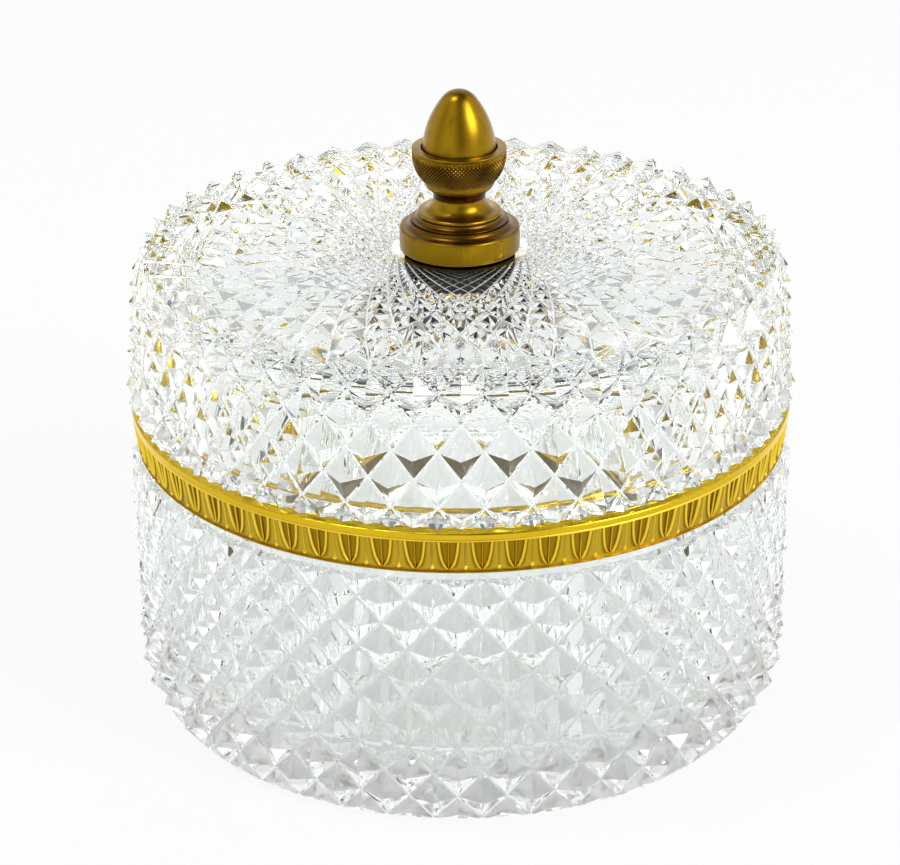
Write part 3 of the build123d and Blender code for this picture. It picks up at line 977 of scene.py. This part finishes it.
def make_floor():
    finish = Finish(bpy.data.materials.new("floor"))
    paper = finish.add("ShaderNodeBsdfDiffuse", None, {"Color": colour(FLOOR_GREY, FLOOR_GREY, FLOOR_GREY)})
    white = finish.add("ShaderNodeEmission", None, {"Color": colour(1, 1, 1), "Strength": 1.0})
    glow = {"Color": colour(1, 1, 1), "Strength": GLASS_GLOW_STRENGTH}
    bright = finish.add("ShaderNodeEmission", None, glow)
    camera = finish.add("ShaderNodeLightPath")
    diffuse = finish.add("ShaderNodeLightPath", output=2)
    side = finish.add("ShaderNodeSeparateXYZ", None, {0: finish.place()}, output=0)
    depth = finish.add("ShaderNodeSeparateXYZ", None, {0: finish.place()}, output=1)
    radius = side.maths("SQRT", side * side + depth * depth)
    under = 1 - radius.over(bowl_high.x - UNDER_INSIDE, bowl_high.x + UNDER_OUTSIDE)
    behind = depth.over(*BEHIND_DEPTHS) * (1 - under)
    grade = UNDER_FRONT + UNDER_RISE * depth.over(*UNDER_DEPTHS)
    share = FLOOR_GLOW_IN_GLASS + FLOOR_GLOW_UNDER * under * grade + FLOOR_GLOW_BEHIND * behind
    share = share * (1 - diffuse)
    in_glass = finish.add("ShaderNodeMixShader", None, {0: share, 1: paper, 2: bright})
    seen = finish.add("ShaderNodeMixShader", None, {0: FLOOR_GLOW, 1: paper, 2: white})
    shader = finish.add("ShaderNodeMixShader", None, {0: camera, 1: in_glass, 2: seen})
    finish.add("ShaderNodeOutputMaterial", None, {"Surface": shader})
    bm = bmesh.new()
    bmesh.ops.create_grid(bm, x_segments=1, y_segments=1, size=FLOOR_SIZE / 2)
    bmesh.ops.translate(bm, verts=bm.verts, vec=(0, 0, -FLOOR_DROP))
    mesh = bpy.data.meshes.new("floor")
    bm.to_mesh(mesh)
    bm.free()
    mesh.materials.append(finish.owner)
    floor = bpy.data.objects.new("floor", mesh)
    bpy.context.scene.collection.objects.link(floor)


def make_world():
    world = bpy.data.worlds.new("studio")
    bpy.context.scene.world = world
    finish = Finish(world)
    way = finish.add("ShaderNodeTexCoord", output=0)
    side = finish.add("ShaderNodeSeparateXYZ", None, {0: way}, output=0)
    depth = finish.add("ShaderNodeSeparateXYZ", None, {0: way}, output=1)
    height = finish.add("ShaderNodeSeparateXYZ", None, {0: way}, output=2)
    camera = finish.add("ShaderNodeLightPath")
    turn = side.maths("ARCTAN2", side, -1 * depth)
    gaps = turn.maths("COSINE", WALL_PANELS * turn).over(*GAP_EDGES)
    front = turn.near(FRONT_TURN, FRONT_REACH)
    backdrop = depth.over(*BACKDROP_DEPTHS) * height.near(0, BACKDROP_REACH)
    wall = WALL_LEVEL - GAP_SHADE * gaps * (1 - backdrop) - FRONT_SHADE * front + BACKDROP_GLOW * backdrop
    shade = HIGH_SHADE * height.over(*HIGH_EDGES) + CEILING_SHADE * height.over(*CEILING_EDGES)
    # The camera sees plain white
    level = camera + (1 - camera) * wall * (1 - shade)
    sky = finish.add("ShaderNodeBackground", None, {"Color": colour(1, 1, 1), "Strength": level})
    finish.add("ShaderNodeOutputWorld", None, {"Surface": sky})


def make_lamp(name, place, size, power):
    lamp = bpy.data.lights.new(name, "AREA")
    lamp.shape = "RECTANGLE"
    lamp.size = size[0]
    lamp.size_y = size[1]
    lamp.energy = power
    holder = bpy.data.objects.new(name, lamp)
    aim = Vector((0, 0, AIM_HEIGHT)) - Vector(place)
    holder.matrix_world = Matrix.Translation(place) @ aim.to_track_quat("-Z", "Y").to_matrix().to_4x4()
    bpy.context.scene.collection.objects.link(holder)


make_camera()
make_floor()
make_world()
make_lamp("key_lamp", *KEY_LAMP)
make_lamp("fill_lamp", *FILL_LAMP)

scene = bpy.context.scene
scene.view_settings.view_transform = "Standard"
scene.cycles.max_bounces = BOUNCES
scene.cycles.transmission_bounces = BOUNCES
scene.cycles.glossy_bounces = BOUNCES
scene.cycles.use_denoising = True
